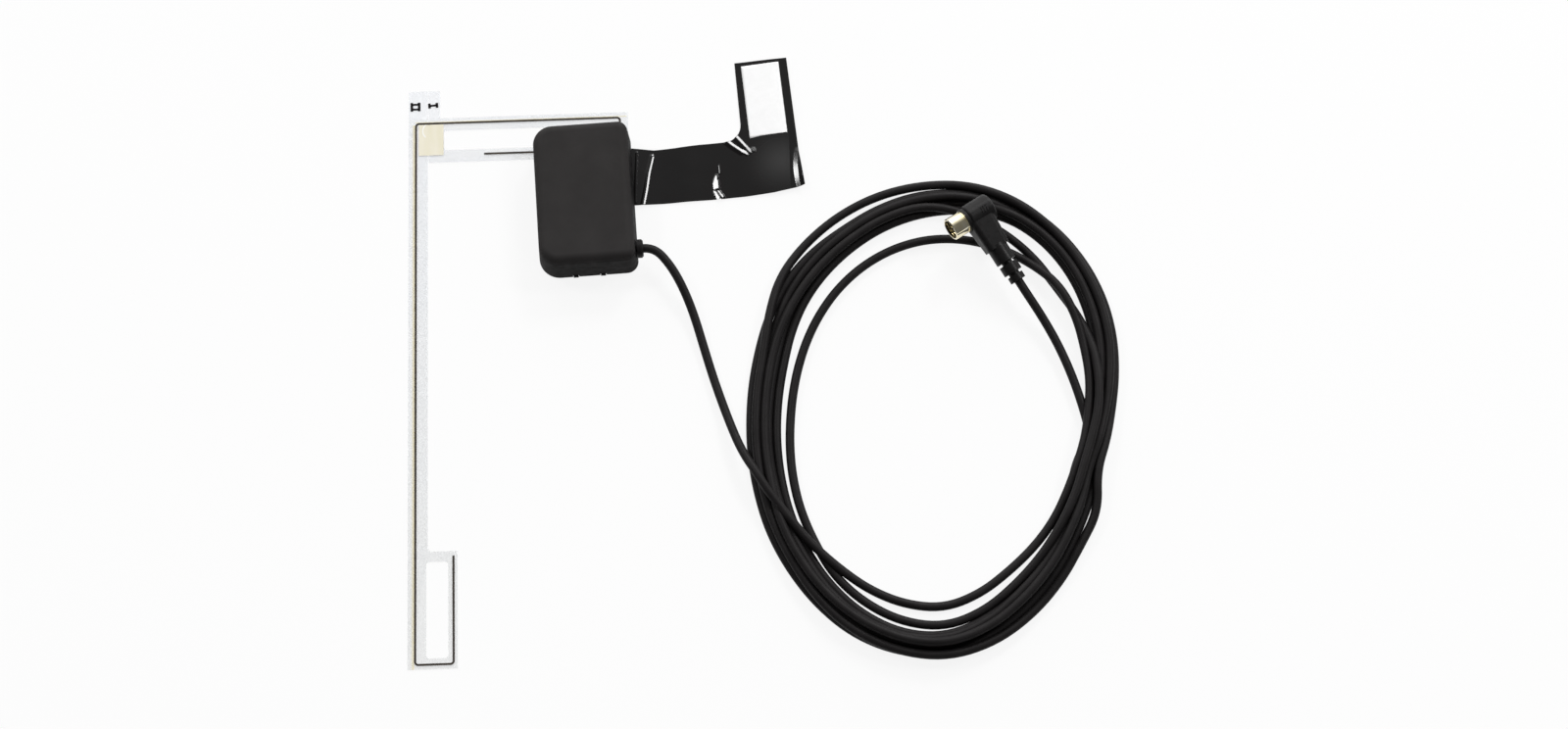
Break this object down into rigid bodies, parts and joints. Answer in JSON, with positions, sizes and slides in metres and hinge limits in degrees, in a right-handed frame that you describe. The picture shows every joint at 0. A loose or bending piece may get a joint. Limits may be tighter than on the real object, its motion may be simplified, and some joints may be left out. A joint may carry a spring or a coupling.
{
  "type": "windscreen antenna",
  "caption": "Adhesive windscreen antenna for digital radio: clear film with printed elements, amplifier box, ground sheet and coiled coaxial cable with a right-angle plug.",
  "frame": {"origin": "middle of the amplifier box's footprint on its adhesive face, on the glass", "axes": "+Z away from the glass, +X along the film's arms towards the ground sheet, +Y along the long strip towards the arms"},
  "size_m": [0.2058, 0.1852, 0.0157],
  "materials": {
    "clear_film": "clear, smooth",
    "release_liner": "clear, smooth",
    "tape": "matte",
    "printed_conductor": "dark bronze ink",
    "housing": "fine texture",
    "foam": "matte foam",
    "board": "solder mask",
    "components": "matte",
    "spring_metal": "plated",
    "ground_foil": "glossy, creased",
    "label": "paper",
    "cable_jacket": "satin",
    "plug_moulding": "satin",
    "plug_metal": "plated, bright",
    "insulator": "smooth"
  },
  "bodies": {
    "root": {"carrier_film": "clear_film", "liner_one": "release_liner", "liner_two": "release_liner", "corner_tape": "tape", "main_element": "printed_conductor", "short_element": "printed_conductor", "amp_cover": "housing", "amp_base": "housing", "amp_pad": "foam", "amp_board": "board", "amplifier_chip": "components", "filter_coils": "components", "chip_capacitors": "components", "main_contact": "spring_metal", "short_contact": "spring_metal", "ground_contact": "spring_metal", "cable_grommet": "cable_jacket", "cable_end": "cable_jacket", "ground_sheet": "ground_foil", "sheet_label": "label", "cable_lead": "cable_jacket", "cable_coil": "cable_jacket", "cable_tail": "cable_jacket", "plug_body": "plug_moulding", "plug_shell": "plug_metal", "plug_fingers": "plug_metal", "plug_insulator": "insulator", "plug_contact": "plug_metal"}
  },
  "joints": []
}
